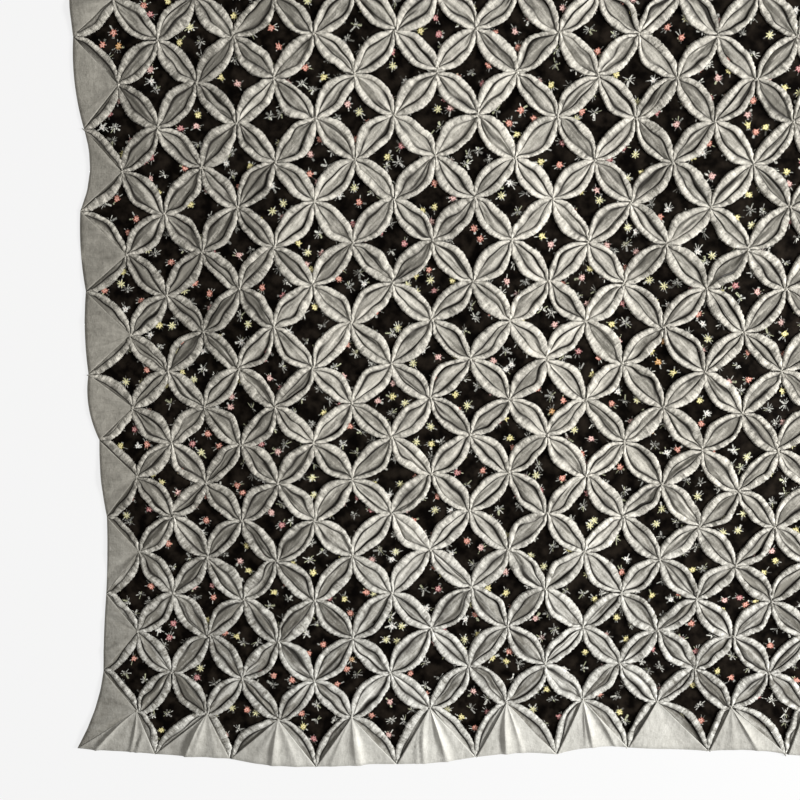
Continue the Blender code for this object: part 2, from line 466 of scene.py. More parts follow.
# %% [markdown]
# ## Outline and rolls
#
# The shaping goes in the order in which a hand would feel it. First comes how wide the petal is here, how
# much of that is roll and how high the roll stands. Near a tack the neighbours pinch it. It parts from
# them where each side is as wide as the tip, and further on its belly grows to a share of its length.
# Each is an array with one number for each row of points along each petal.

# %% One side of a petal
TIP = 10.6 * MM
FULLNESS = (0.9, 1.09)
TOUCHING = 1.03
LEAST_HALF_WIDTH = 1.2 * MM
OUTLINE_WAVES = Waves((1, 2, 3, 5), 1.5 * MM)

NOTCH_STRENGTH = (0.3, 1.4)
NOTCH_FADE = 3

ROLL_WIDTH = 9.8 * MM
ROLL_WIDTH_AT_TACK = 5 * MM
ROLL_WIDTH_SPREAD = (0.74, 1.2)
ROLL_BLUNTNESS = 0.6
ROLL_SHARES = (0.3, 0.9)
ROLL_WAVES = Waves((2, 3, 5), 2.3 * MM)

CREST_HEIGHT = 5.4 * MM
CREST_AT_TACK = 4.1 * MM
CREST_SPREAD = (0.8, 1.1)
CREST_BLUNTNESS = 0.5
CREST_WAVES = Waves((3, 5, 8), 0.5 * MM)


def half_petal(lie, slopes, share):
    """The outline, the notches, the roll's width and the crest of one side of each petal, at each row."""
    one_each = (len(slopes), 1)
    slope_start, slope_end = slopes[:, :1], slopes[:, 1:]
    tip_start, tip_end = TIP / slope_start, TIP / slope_end
    open_part = np.clip((lie.run - tip_start) / (lie.length - tip_start - tip_end), 0, 1)
    belly = 4 * open_part * (1 - open_part)
    fullness = hand.uniform(*FULLNESS, one_each) * share * lie.length - TIP
    pinched = np.minimum(lie.run * slope_start, (lie.length - lie.run) * slope_end) * TOUCHING
    outline = np.minimum(TIP + fullness * belly, np.maximum(pinched, LEAST_HALF_WIDTH))
    outline += wobble(lie.along, OUTLINE_WAVES) * belly
    away_from_tacks = np.minimum(1, NOTCH_FADE * np.sin(np.pi * np.linspace(0, 1, ROWS + 1)))
    notch = (np.arange(ROWS + 1) % 2) * away_from_tacks * hand.uniform(*NOTCH_STRENGTH, lie.along.shape)
    swell = np.sin(np.pi * lie.along)
    width = hand.uniform(*ROLL_WIDTH_SPREAD, one_each) * ROLL_WIDTH - ROLL_WIDTH_AT_TACK
    roll = ROLL_WIDTH_AT_TACK + width * swell ** ROLL_BLUNTNESS
    roll += wobble(lie.along, ROLL_WAVES)
    roll = np.clip(roll, ROLL_SHARES[0] * outline, ROLL_SHARES[1] * outline)
    plump = hand.uniform(*CREST_SPREAD, one_each) * (CREST_HEIGHT - CREST_AT_TACK)
    crest = CREST_AT_TACK + plump * swell ** CREST_BLUNTNESS
    crest += wobble(lie.along, CREST_WAVES)
    return outline, notch, roll, crest


def both_sides(petals, lie, share, point, column):
    """What half_petal gives for each point, from its own side of the petal."""
    chosen = np.zeros((4, len(column)))
    for side, name in ((1, "left"), (-1, "right")):
        shaped = half_petal(lie, np.array([getattr(petal, name) for petal in petals]), share)
        here = (column * side > 0) | ((column == 0) & (side == 1))
        for values, one_side in zip(chosen, shaped):
            values[here] = one_side[point][here]
    return chosen


# %% [markdown]
# ## Across a petal
#
# The section table turns those widths into places. Each end may be tacked slightly off its line. On a
# whole petal the hollow also sways from side to side between its rolls, and the petal bows a little.

# %% Places across
NOTCH_DEPTH = 1.0 * MM
HOLLOW_EDGE = 0.12
LEAST_HOLLOW = 0.1 * MM
SWAY_WAVES = Waves((1, 2, 3), 2.2 * MM)
SWAY_LOST_AT_EDGE = 0.4
PINCH_SHIFT = 1.4 * MM
BOW = 1.3 * MM


def sideways(lie, point, column, outline, notch, roll):
    """How far points lie from their petal's middle line, and their place across the hollow, -1 to 1."""
    number, row = point
    whole = column.min() < 0
    step = np.abs(column)
    hollow_part, roll_part, _, _ = np.array(SECTION)[step].T
    hollow = outline - roll
    notched = notch * NOTCH_DEPTH * (step >= CREST)
    offset = np.sign(column) * (hollow_part * hollow + roll_part * roll - notched)
    place = np.clip(offset / np.maximum(hollow + HOLLOW_EDGE * roll, LEAST_HOLLOW), -1, 1)
    sway = wobble(lie.along, SWAY_WAVES)[point] * (step <= LIP)
    if whole:
        offset += sway * (1 - np.abs(place) * SWAY_LOST_AT_EDGE)
    at_ends = np.abs(2 * lie.along[point] - 1) ** 3
    pinch_shift = hand.normal(0, PINCH_SHIFT, (len(lie.along), 2))
    offset += at_ends * pinch_shift[number, (row > ROWS / 2).astype(int)]
    if whole:
        offset += hand.normal(0, BOW, len(lie.along))[number] * (1 - at_ends)
    return offset, place


# %% [markdown]
# ## In the hollow
#
# The hollow is one layer of cloth between two rolls. It swells or sags, leans to one side, puckers along
# a line in most petals and is crumpled a little in all of them. The sizes of the puckers are a short
# list, so that some petals come out smooth and some stand up in a ridge.

# %% Heights in the hollow
HOLLOW_HEIGHT = 2.4 * MM
HOLLOW_BLUNTNESS = 0.6
BULGES = (-0.9 * MM, 1.5 * MM)
PUCKER_HEIGHT = 2.7 * MM
PUCKER_SIZES = (0.1, 0.5, 0.8, 1.15, -0.6)
PUCKER_PLACES = (-0.5, 0.5)
PUCKER_WAVES = Waves((1, 2), 0.16)
PUCKER_REACH = 0.22
CRUMPLE_WAVES = Waves((4, 7, 9), 0.7 * MM)
TILT = 1.1 * MM


def hollow_floor(lie, point, place):
    """Height of the cloth in the hollow: a soft swell, a lengthways pucker in some, and small crumples."""
    number, count = point[0], len(lie.along)
    wave = wobble(lie.along, PUCKER_WAVES)[point]
    lean = hand.uniform(*PUCKER_PLACES, count)[number] + wave
    swell = np.sin(np.pi * lie.along[point]) ** HOLLOW_BLUNTNESS
    bulge = hand.uniform(*BULGES, count)[number] * (1 - place ** 2)
    size = hand.choice(PUCKER_SIZES, count)[number] * PUCKER_HEIGHT
    pucker = size * bell((place - lean) / PUCKER_REACH)
    crumple = wobble(lie.along, CRUMPLE_WAVES)[point] * (1 - np.abs(place)) ** 0.5
    tilt = hand.uniform(-TILT, TILT, count)[number] * place
    return HOLLOW_HEIGHT + swell * (bulge + pucker + tilt) + crumple


# %% [markdown]
# ## Bending the petals
#
# Now every point gets its place and its height. Some hollows have one sharp tuck along them, which is a
# raised line of points beside a lowered one, and the lowered line gets painted shade. Petals along the
# hem sink a little at the ends that lie on it, and on their inner side, which goes under the plain
# triangle. Each point also remembers what the cloth's finish will ask for: how much painted shade
# darkens it, in its crease, at its roll's foot and in a hem hollow under the plain triangle's edge, how
# its petal took the dye, how far up the roll it lies and where on the flat cloth it would be.

# %% Shape of the petals
PETAL_SHARE = 0.241
HEM_PETAL_SHARE = 0.2
TUCK_LINES = (-2, 3)
TUCK_WAVES = Waves((1, 2), 1.6)
TUCK_STRENGTHS = (0, 0.7, 1)
TUCK_DEPTH = 1.2 * MM
CREASE_DEPTH = 1.3 * MM
ROLL_FOOT = 1.9 * MM
NOTCH_DIP = 1.1 * MM
CLOTH_GRAIN = 0.15 * MM
HEM_DROP = 1.5 * MM
HEM_PETAL_SINK = 0.5 * MM
LEAST_HEIGHT = 0.3 * MM

# Painted shade along each petal: its strength, its limits and waves, and how far it reaches into a hem
# hollow.
PAINTED_SHADE_STRENGTH = 1.05
PAINTED_SHADE_LIMITS = (0.35, 1)
PAINTED_SHADE_WAVES = Waves((1, 3, 5), 0.5)
HEM_GAP_SHADE = (0, 0.85)
DYE_SPREAD = (-0.5, 0.5)
CUT_APART = 0.37

notches = []


def near_hem(petals, lie, point, power):
    """How near points are to an end of their petal that lies on the hem, from 0 to 1."""
    on_hem = [
        [abs(x) > (WIDTH - STEP_WIDTH) / 2 or abs(y) > (LENGTH - STEP_HEIGHT) / 2 for x, y in petal[:2]]
        for petal in petals
    ]
    at_start, at_end = np.array(on_hem)[point[0]].T
    along = lie.along[point]
    return at_start * (1 - along) ** power + at_end * along ** power


def shape_petals(data, petals, share):
    """Bends stacked grids into petals, and remembers what the finish needs."""
    places = points_of(data)
    count = len(petals)
    whole = share == PETAL_SHARE
    columns = HALF_COLUMNS * (2 if whole else 1)
    number, row = nearest(places[:, 2]), nearest(places[:, 0] * ROWS)
    point = (number, row)
    column = nearest(places[:, 1] * columns) - (HALF_COLUMNS if whole else 0)
    step = np.abs(column)
    _, _, height_part, shade = np.array(SECTION)[step].T

    lie = lie_of(petals)
    outline, notch, roll, crest = both_sides(petals, lie, share, point, column)
    offset, place = sideways(lie, point, column, outline, notch, roll)
    spot = lie.start[number] + lie.direction[number] * lie.run[point][:, None]
    spot += lie.normal[number] * offset[:, None]

    tuck_at = hand.integers(*TUCK_LINES, count)[number]
    tuck = np.clip(wobble(lie.along, TUCK_WAVES)[point], 0, 1)
    tuck = tuck * hand.choice(TUCK_STRENGTHS, count)[number] * whole
    floor = hollow_floor(lie, point, place) - CREASE_DEPTH * (step == CREASE)
    floor += TUCK_DEPTH * tuck * ((column == tuck_at + 1) * 1.0 - (column == tuck_at))
    stand = crest - ROLL_FOOT - notch * NOTCH_DIP * (step >= CREST - 1)
    stand += hand.normal(0, CLOTH_GRAIN, len(number)) * (step > LIP)
    height = np.where(step <= CREASE, floor, ROLL_FOOT + height_part * stand)
    if not whole:
        height -= HEM_DROP * near_hem(petals, lie, point, power=3)
        height -= HEM_PETAL_SINK * (step < 2)
    move_points(data, *spot.T, np.maximum(height, LEAST_HEIGHT))

    # Painted shade: the colour is darkened where shadow falls, in the crease, at the roll's foot, along a
    # tuck and in a hem hollow.
    painted_dark = np.clip(PAINTED_SHADE_STRENGTH + wobble(lie.along, PAINTED_SHADE_WAVES)[point], *PAINTED_SHADE_LIMITS) * shade
    painted_dark += tuck * (column == tuck_at)
    if not whole:
        gap_shade = hand.uniform(*HEM_GAP_SHADE, count)[number] * near_hem(petals, lie, point, power=1)
        painted_dark = np.maximum(painted_dark, (step <= CREASE) * gap_shade)
    remember(
        data,
        crease=np.clip(painted_dark, 0, 1),
        dye=hand.uniform(*DYE_SPREAD, count)[number],
        roll=np.clip((step - CREASE) / 2, 0, 1),
        weave=np.column_stack([lie.run[point], offset, number * CUT_APART]),
    )
    outward = lie.normal[number] * np.sign(column)[:, None]
    at_notch = (step == FOOT) & (row % 2 == 1)
    notches.append(np.column_stack([spot, height, outward])[at_notch])
    return data


# %% [markdown]
# ## The folded squares, row by row
#
# The quilt is sewn in rows of squares, so each row is one piece here too. That keeps every mesh small
# enough to look at, and a row could be taken out and mended as on the real quilt.

# %% Make the rows
for unit_row in range(UNITS_UP):
    of_row = [petal for petal in whole_petals if petal.row == unit_row]
    data = stacked_grids(f"folded_squares_row_{unit_row + 1:02d}", len(of_row), ROWS, 2 * HALF_COLUMNS)
    piece(shape_petals(data, of_row, PETAL_SHARE), "grey_cotton")
data = stacked_grids("folded_squares_hem", len(hem_petals), ROWS, HALF_COLUMNS)
piece(shape_petals(data, hem_petals, HEM_PETAL_SHARE), "grey_cotton")
print("triangles so far:", sum(2 * len(made.data.polygons) for made in pieces))

# %% [markdown]
# ## Patches over the seams
#
# The print is cut into four-sided patches. Each lies over a seam, and its raw edges run in under the
# rolls, dip a little and end there. A patch is a grid stretched between its four tacked corners and drawn
# in a little on every side. The seam and the gathered petals pull it into a few soft upright wrinkles.
# Each was cut from the cloth at its own place and turn, so each point also remembers its place on the
# uncut print, and whether it lies in the open or on the rim.

# %% Make the patches
PATCH_STEPS = 10
PATCH_INSET = 0.1
PATCH_HEIGHT = 1.95 * MM
PATCH_EDGE_DIP = 1.1 * MM
WRINKLES = 3
WRINKLE_HEIGHT = 0.9 * MM
WRINKLE_PLACES = (-26 * MM, 26 * MM)
WRINKLE_LEAN = 0.22
WRINKLE_REACH = (2.5 * MM, 5.5 * MM)
WRINKLE_SIZES = (-0.5, 1)
OPEN_FROM = 0.01


def shape_patches(data, middles):
    """Stretches stacked grids between their tacked corners."""
    places = points_of(data)
    count = len(middles)
    number = nearest(places[:, 2])
    across, up = (0.5 + (places[:, :2] - 0.5) * (1 - 2 * PATCH_INSET)).T[:, :, None]
    bottom, right, top, left = (
        np.array([tacked[step + aside, row + above] for step, row in middles])[number]
        for aside, above in ((0, -1), (1, 0), (0, 1), (-1, 0))
    )
    spot = (1 - up) * ((1 - across) * bottom + across * right) + up * ((1 - across) * left + across * top)
    off = spot - (bottom + right + top + left) / 4
    inside = np.clip(16 * (places[:, 0] * (1 - places[:, 0])) * (places[:, 1] * (1 - places[:, 1])), 0, 1)
    wrinkle = np.zeros(len(number))
    for _ in range(WRINKLES):
        at = hand.uniform(*WRINKLE_PLACES, count)[number]
        lean = hand.normal(0, WRINKLE_LEAN, count)[number]
        reach = hand.uniform(*WRINKLE_REACH, count)[number]
        size = hand.uniform(*WRINKLE_SIZES, count)[number] * WRINKLE_HEIGHT
        wrinkle += size * bell((off[:, 0] - at - lean * off[:, 1]) / reach)
    height = PATCH_HEIGHT + wrinkle * inside ** 0.5 - PATCH_EDGE_DIP * (1 - inside) ** 3
    move_points(data, *spot.T, height)
    turn = hand.uniform(0, 2 * np.pi, count)[number]
    cut_at = hand.uniform(0, 1, (count, 2))[number]
    print_x = np.cos(turn) * off[:, 0] - np.sin(turn) * off[:, 1] + cut_at[:, 0]
    print_y = np.sin(turn) * off[:, 0] + np.cos(turn) * off[:, 1] + cut_at[:, 1]
    remember(data, cut=np.column_stack([print_x, print_y, 0 * print_x]), open=inside > OPEN_FROM)
    return data


over_seams = [
    (step, row) for step in range(1, STEPS_ACROSS) for row in range(1, STEPS_UP) if (step + row) % 2
]
for name, odd in (("patches_over_level_seams", 1), ("patches_over_upright_seams", 0)):
    middles = [middle for middle in over_seams if middle[0] % 2 == odd]
    data = stacked_grids(name, len(middles), PATCH_STEPS, PATCH_STEPS)
    piece(shape_patches(data, middles), "black_print")
    print(name, len(middles))

# %% [markdown]
# ## The plain triangles of the hem
#
# The outer squares have no neighbour to share a patch with, so a triangle of each stays plain. It is
# gathered to the tack at the square's middle and runs out in pleats to the hem, more so along the bottom
# and top. The pleats fan out from the tack, and small ripples run between them.

# %% Pleats of the hem
PLEATS = 4
PLEAT_HEIGHT = 3.6 * MM
PLEAT_FAN = (0.1, 0.9)
PLEAT_PLACES = (-0.35, 0.35)
PLEAT_REACH = (0.03, 0.1)
PLEAT_SLOPES = (0.35, 0.45, 1.8)
PLEAT_SIZES = (0, 0.4, 0.8, 1.2)
PLEAT_SHARPNESS = 1.4
SIDE_PLEAT_SHARE = 0.25
RIPPLES = 4
RIPPLE_PLACES = (0.1, 0.9)
RIPPLE_REACH = (0.025, 0.15)
RIPPLE_SIZE = 0.3


def hem_pleats(along, up, level, number, count):
    """How high the pleats and ripples stand at each point, as a share of a pleat's height."""
    pleat = np.zeros(len(number))
    for _ in range(PLEATS):
        upright = hand.uniform(*PLEAT_FAN, count)[number]
        off = (along - 0.5) * (1 - upright * up) - hand.uniform(*PLEAT_PLACES, count)[number]
        reach = hand.uniform(*PLEAT_REACH, count)[number]
        slope = hand.choice(PLEAT_SLOPES, count)[number]
        size = hand.choice(PLEAT_SIZES, count)[number]
        pleat += size * np.exp(-(np.abs(off) / (reach * np.where(off < 0, slope, 1))) ** PLEAT_SHARPNESS)
    pleat *= np.where(level, 1, SIDE_PLEAT_SHARE)
    for _ in range(RIPPLES):
        off = along - hand.uniform(*RIPPLE_PLACES, count)[number]
        reach = hand.uniform(*RIPPLE_REACH, count)[number]
        pleat += hand.normal(0, RIPPLE_SIZE, count)[number] * bell(off / reach)
    return pleat


# %% [markdown]
# ## Where the triangles lie
#
# Again each triangle is one grid, drawn together to a point at the tack. Its two folded edges lie over
# the petals beside it, and its hem turns under: the outer columns and the first two rows of points are
# those turned edges, and the rest is the panel between them.

# %% Make the edge triangles
EDGE_COLUMNS = 52
EDGE_ROWS = 14
EDGE_THICKNESS = 1.3 * MM
EDGE_TACK_HEIGHT = 3.9 * MM
EDGE_HEM_HEIGHT = 1.7 * MM
EDGE_CLIMB = 0.8
EDGE_PUFF = 1.2 * MM
PUFF_FROM = 0.12
PUFF_SPAN = 0.85
PUFF_BLUNTNESS = 0.6
EDGE_LIFT = 1.3 * MM
LIFT_BLUNTNESS = 0.7
PLEAT_AT_ENDS = 0.55
PLEAT_FADE = 5.12
HEM_CORNER_LIFT = 0.5 * MM
TURN_HEIGHT = 0.9 * MM
UNDERSIDE_HEIGHT = 0.15 * MM
LEAST_EDGE_HEIGHT = 0.1 * MM
HEM_ROUNDING = 0.5 * MM
TURNED_UNDER = 0.8 * MM
TURNED_SHADE = 0.9
UNDERSIDE_SHADE = 0.6
# Painted light makes the top and bottom hems lighter, and painted shade makes the side hems darker.
LEVEL_HEM_PAINTED_LIGHT = 0.73
SIDE_HEM_PAINTED_SHADE = 0.33


def edge_triangles():
    """The tack and the two hem corners of every edge triangle, in turn round the quilt."""
    found = []
    for unit in range(UNITS_ACROSS):
        found.append(((2 * unit + 1, 1), (2 * unit, 0), (2 * unit + 2, 0)))
        found.append(((2 * unit + 1, STEPS_UP - 1), (2 * unit + 2, STEPS_UP), (2 * unit, STEPS_UP)))
    right = STEPS_ACROSS
    for unit in range(UNITS_UP):
        found.append(((1, 2 * unit + 1), (0, 2 * unit + 2), (0, 2 * unit)))
        found.append(((right - 1, 2 * unit + 1), (right, 2 * unit), (right, 2 * unit + 2)))
    return found


def hem_line(first, last):
    """Points along the hem between two of its corners, one for each column of a panel."""
    shares = np.linspace(0, 1, EDGE_COLUMNS - 1)
    across, up = last[0] - first[0], last[1] - first[1]
    return [laid(first[0] + across * share, first[1] + up * share) for share in shares]


def shape_edges(data, triangles):
    """Draws stacked grids together into pleated triangles between the hem and a tack."""
    places = points_of(data)
    number = nearest(places[:, 2])
    column, row = nearest(places[:, 0] * EDGE_COLUMNS), nearest(places[:, 1] * EDGE_ROWS)
    panel_column = np.clip(column, 1, EDGE_COLUMNS - 1) - 1
    along = panel_column / (EDGE_COLUMNS - 2)
    up = (np.clip(row, 2, EDGE_ROWS) - 2) / (EDGE_ROWS - 2)
    tack = np.array([tacked[middle] for middle, _, _ in triangles])[number]
    on_hem = np.array([hem_line(first, last) for _, first, last in triangles])[number, panel_column]
    spot = on_hem + (tack - on_hem) * up[:, None]
    inward = (tack - on_hem) / np.linalg.norm(tack - on_hem, axis=1)[:, None]
    spot += inward * ((row == 2) * HEM_ROUNDING + (row == 0) * TURNED_UNDER)[:, None]

    level = np.array([first[1] == last[1] for _, first, last in triangles])[number]
    pleat = hem_pleats(along, up, level, number, len(triangles))
    middle_up, middle_along = np.sin(np.pi * up), np.sin(np.pi * along)
    fade = np.minimum(1, PLEAT_FADE * along * (1 - along)) * (1 - up ** 3)
    rounded = np.sin(np.pi * (up * PUFF_SPAN + PUFF_FROM)) * middle_along ** PUFF_BLUNTNESS
    full = PLEAT_AT_ENDS + (1 - PLEAT_AT_ENDS) * middle_up
    height = EDGE_HEM_HEIGHT + (EDGE_TACK_HEIGHT - EDGE_HEM_HEIGHT) * up ** EDGE_CLIMB
    height += EDGE_PUFF * rounded + pleat * PLEAT_HEIGHT * fade * full
    height += EDGE_LIFT * middle_up ** LIFT_BLUNTNESS * (1 - middle_along)
    height += HEM_CORNER_LIFT * level * (1 - fade)
    turned = (column == 0) | (column == EDGE_COLUMNS)
    height -= turned * (EDGE_THICKNESS + EDGE_LIFT * middle_up)
    height = np.where(row == 1, np.minimum(height, TURN_HEIGHT), height)
    height = np.where(row == 0, UNDERSIDE_HEIGHT, height)
    move_points(data, *spot.T, np.maximum(height, LEAST_EDGE_HEIGHT))
    remember(
        data,
        # Painted light on the top and bottom hems, painted shade on the side hems.
        roll=np.where(level, LEVEL_HEM_PAINTED_LIGHT, SIDE_HEM_PAINTED_SHADE),
        plain=1,
        # Painted shade darkens the turned edges and the turned-under hem.
        crease=turned * TURNED_SHADE + (row == 0) * UNDERSIDE_SHADE,
        weave=np.column_stack([spot, number * CUT_APART]),
    )
    return data


triangles = edge_triangles()
data = stacked_grids("edge_triangles", len(triangles), EDGE_COLUMNS, EDGE_ROWS)
piece(shape_edges(data, triangles), "grey_cotton")
print(len(triangles), "edge triangles")

# %% [markdown]
# ## The back
#
# Nothing shows the back, and on such a quilt it is plain: the flat backs of the folded squares, sewn edge
# to edge. A grid with a face for each square is inset, which leaves a narrow strip along every seam, and
# the seams themselves are lifted a little off the floor. Cut finer, it follows the soft folds.

# %% Make the back
SEAM_HALF_WIDTH = 1.6 * MM
SEAM_RISE = 0.5 * MM
SEAM_SHADE = 0.5
BACK_LIGHTNESS = 0.5
BACK_CUTS = 3

mesh = bmesh.new()
bmesh.ops.create_grid(mesh, x_segments=UNITS_ACROSS, y_segments=UNITS_UP, size=0.5)
bmesh.ops.scale(mesh, vec=(WIDTH, LENGTH, 1), verts=mesh.verts)
bmesh.ops.translate(mesh, vec=(WIDTH / 2, LENGTH / 2, 0), verts=mesh.verts)
for vert in mesh.verts:
    vert.co.z = 0 if vert.is_boundary else SEAM_RISE
squares = mesh.faces[:]
bmesh.ops.inset_individual(mesh, faces=squares, thickness=SEAM_HALF_WIDTH, depth=0)
for square in squares:
    for vert in square.verts:
        vert.co.z = 0
bmesh.ops.subdivide_edges(mesh, edges=mesh.edges[:], cuts=BACK_CUTS, use_grid_fill=True)
for vert in mesh.verts:
    place = laid(vert.co.x / STEP_WIDTH, vert.co.y / STEP_HEIGHT)
    vert.co = Vector((*place, vert.co.z))
bmesh.ops.reverse_faces(mesh, faces=mesh.faces[:])
data = mesh_data("backs_of_squares", mesh)
places = points_of(data)
move_points(data, *places.T)
seam = np.clip(places[:, 2] / SEAM_RISE, 0, 1)
# Painted shade darkens the lifted seams.
remember(data, roll=BACK_LIGHTNESS, plain=1, crease=SEAM_SHADE * seam, weave=places)
back = piece(data, "grey_cotton")
print("faces of the back:", len(data.polygons))

# %% [markdown]
# ## Stitches
#
# Two kinds of stitch show. Every roll is slip stitched to its patch, one short slanted bar of thread in
# each notch, and every tack has a small cross of thread over the pinched cloth. There are thousands, so
# one stitch is only eight faces: a very coarse sphere from create_uvsphere, drawn out to a spindle. The
# pinched cloth under each cross is a flattened sphere with a few more.

# %% Copies of a small shape
SPINDLE = (4, 2)
KNOB = (8, 4)


def copies_of(name, segments, count):
    """Many copies of one small sphere in a single mesh, one after another."""
    around, high = segments
    mesh = bmesh.new()
    bmesh.ops.create_uvsphere(mesh, u_segments=around, v_segments=high, radius=1)
    data = mesh_data(name, mesh)
    single = bpy.data.objects.new(name, data)
    bpy.context.scene.collection.objects.link(single)
    array = single.modifiers.new("copies", "ARRAY")
    array.count = count
    array.use_relative_offset = False
    copied = bpy.data.meshes.new_from_object(single.evaluated_get(bpy.context.evaluated_depsgraph_get()))
    bpy.data.objects.remove(single)
    bpy.data.meshes.remove(data)
    copied.name = name
    return copied


def stitches(name, places, directions, lengths, width):
    """A spindle of thread at each place, along its direction."""
    count = len(places)
    data = copies_of(name, SPINDLE, count)
    unit = points_of(data).reshape(count, -1, 3)
    along = directions / np.linalg.norm(directions, axis=1)[:, None]
    aside = np.cross(along, (0, 0, 1))
    aside /= np.linalg.norm(aside, axis=1)[:, None]
    above = np.cross(aside, along)
    spot = places[:, None, :] + unit[:, :, 2:] * (along * lengths[:, None] / 2)[:, None, :]
    spot += unit[:, :, :1] * aside[:, None, :] * width / 2
    spot += unit[:, :, 1:2] * above[:, None, :] * width / 2
    low = spot.reshape(-1, 3)
    ground = np.repeat(rise(places[:, 0], places[:, 1]), unit.shape[1])
    low[:, 2] += ground - rise(low[:, 0], low[:, 1])
    move_points(data, *low.T)
    return piece(data, "grey_thread")


# %% [markdown]
# ## Where the stitches go
#
# The petals noted each notch as they were bent: its place, its height and which way is outwards. A slip
# stitch lies there, dips down to the patch and slants a little. A tack has two stitches, crossed.

# %% Make the stitches
SLIP_LENGTH = 2.8 * MM
SLIP_WIDTH = 0.5 * MM
SLIP_REACH = 0.2 * MM
SLIP_DIP = -0.75
SLIP_SLANT = (0.1, 0.6)
TACK_LENGTH = 6 * MM
TACK_LENGTHS = (0.6, 1)
TACK_WIDTH = 0.7 * MM
TACK_HEIGHT = 4.5 * MM
TACK_CROSSING = (1.2, 1.9)
KNOB_WIDTH = 4.4 * MM
KNOB_RISE = 1.2 * MM
KNOB_HEIGHT = 3 * MM
KNOB_LIGHTNESS = 0.8
KNOB_SHADE = 0.1

noted = np.concatenate(notches)
outward = np.column_stack([noted[:, 3:5], np.full(len(noted), SLIP_DIP)])
slant = np.column_stack([-noted[:, 4], noted[:, 3], 0 * noted[:, 3]])
slanted = outward + slant * hand.uniform(*SLIP_SLANT, (len(noted), 1))
slip_places = noted[:, :3] + outward * SLIP_REACH
stitches("slip_stitches", slip_places, slanted, np.full(len(noted), SLIP_LENGTH), SLIP_WIDTH)
print("slip stitches:", len(noted))

inner_tacks = np.array([place for at, place in tacked.items() if has_patch(*at)])
turned = hand.uniform(0, np.pi, len(inner_tacks))
crossed = np.concatenate([turned, turned + hand.uniform(*TACK_CROSSING, len(turned))])
heights = TACK_HEIGHT + np.repeat((0, TACK_WIDTH / 2), len(inner_tacks))
stitches(
    "tack_stitches",
    np.column_stack([np.tile(inner_tacks, (2, 1)), heights]),
    np.column_stack([np.cos(crossed), np.sin(crossed), 0 * crossed]),
    TACK_LENGTH * hand.uniform(*TACK_LENGTHS, len(crossed)),
    TACK_WIDTH,
)

data = copies_of("pinched_middles", KNOB, len(inner_tacks))
knob = points_of(data).reshape(len(inner_tacks), -1, 3) * (KNOB_WIDTH / 2, KNOB_WIDTH / 2, KNOB_RISE)
knob += np.column_stack([inner_tacks, np.full(len(inner_tacks), KNOB_HEIGHT)])[:, None, :]
knob = knob.reshape(-1, 3)
move_points(data, *knob.T)
# The pinched middles take the painted light of a roll near its top and a little painted shade.
remember(data, roll=KNOB_LIGHTNESS, crease=KNOB_SHADE, weave=knob)
piece(data, "grey_cotton")
print(len(inner_tacks), "tacks")

# %% [markdown]
# ## Sums in a material
#
# A finish is mostly arithmetic on sockets: this mask times that one, one minus the rest. Written node by
# node it is unreadable, so one small class wraps a socket and lets Python's own operators add the Math
# nodes. Any other node comes from its one method, which takes the node's type, its settings and what
# goes into its sockets.

# %% Wires
class Wire:
    """A socket in a material that can be used in sums like a number."""

    def __init__(self, tree, socket=None):
        self.tree = tree
        self.socket = socket

    def node(self, kind, settings=None, sockets=None, out=0):
        made = self.tree.nodes.new(kind)
        for name, value in (settings or {}).items():
            if name == "stops":
                ramp = made.color_ramp
                while len(ramp.elements) < len(value):
                    ramp.elements.new(1)
                for stop, (position, colour) in zip(ramp.elements, value):
                    stop.position = position
                    stop.color = colour
            elif name == "interpolation":
                made.color_ramp.interpolation = value
            else:
                setattr(made, name, value)
        for name, value in (sockets or {}).items():
            if isinstance(value, Wire):
                self.tree.links.new(value.socket, made.inputs[name])
            else:
                made.inputs[name].default_value = value
        return Wire(self.tree, made.outputs[out])

    def maths(self, operation, *others, clamp=False):
        values = dict(enumerate((self, *others)))
        return self.node("ShaderNodeMath", {"operation": operation, "use_clamp": clamp}, values)

    def __add__(self, other):
        return self.maths("ADD", other)

    def __sub__(self, other):
        return self.maths("SUBTRACT", other)

    def __rsub__(self, other):
        return self.maths("MULTIPLY_ADD", -1.0, other)

    def __mul__(self, other):
        return self.maths("MULTIPLY", other)

    def __truediv__(self, other):
        return self.maths("DIVIDE", other)

    __radd__ = __add__
    __rmul__ = __mul__

    def sine(self):
        return self.maths("SINE")

    def clamped(self):
        return self.maths("ADD", 0.0, clamp=True)

    def between(self, low, high):
        """0 below low, 1 above high and smooth in between. Swapped, it falls instead."""
        if low > high:
            return 1 - self.between(high, low)
        sockets = {"Value": self, "From Min": low, "From Max": high}
        return self.node("ShaderNodeMapRange", {"interpolation_type": "SMOOTHSTEP"}, sockets)

    def from_to(self, low, high):
        """A number that is low where this is 0 and high where this is 1."""
        return low + (high - low) * self

    def vector(self, operation, *others):
        values = dict(enumerate((self, *others)))
        return self.node("ShaderNodeVectorMath", {"operation": operation}, values, "Vector")

    def stretched(self, scale):
        return self.node("ShaderNodeMapping", sockets={"Vector": self, "Scale": scale})

    def parts(self):
        split = self.node("ShaderNodeSeparateXYZ", sockets={"Vector": self})
        outputs = split.socket.node.outputs
        return [Wire(self.tree, outputs[axis]) for axis in "XYZ"]

    def mixed(self, first, second):
        """One colour turning into another as this goes from 0 to 1."""
        sockets = {"Factor": self, 6: first, 7: second}
        return self.node("ShaderNodeMix", {"data_type": "RGBA"}, sockets, out=2)

    def noise(self, scale, detail=2.0, roughness=0.5):
        sockets = {"Vector": self, "Scale": scale, "Detail": detail, "Roughness": roughness}
        return self.node("ShaderNodeTexNoise", sockets=sockets, out="Fac")


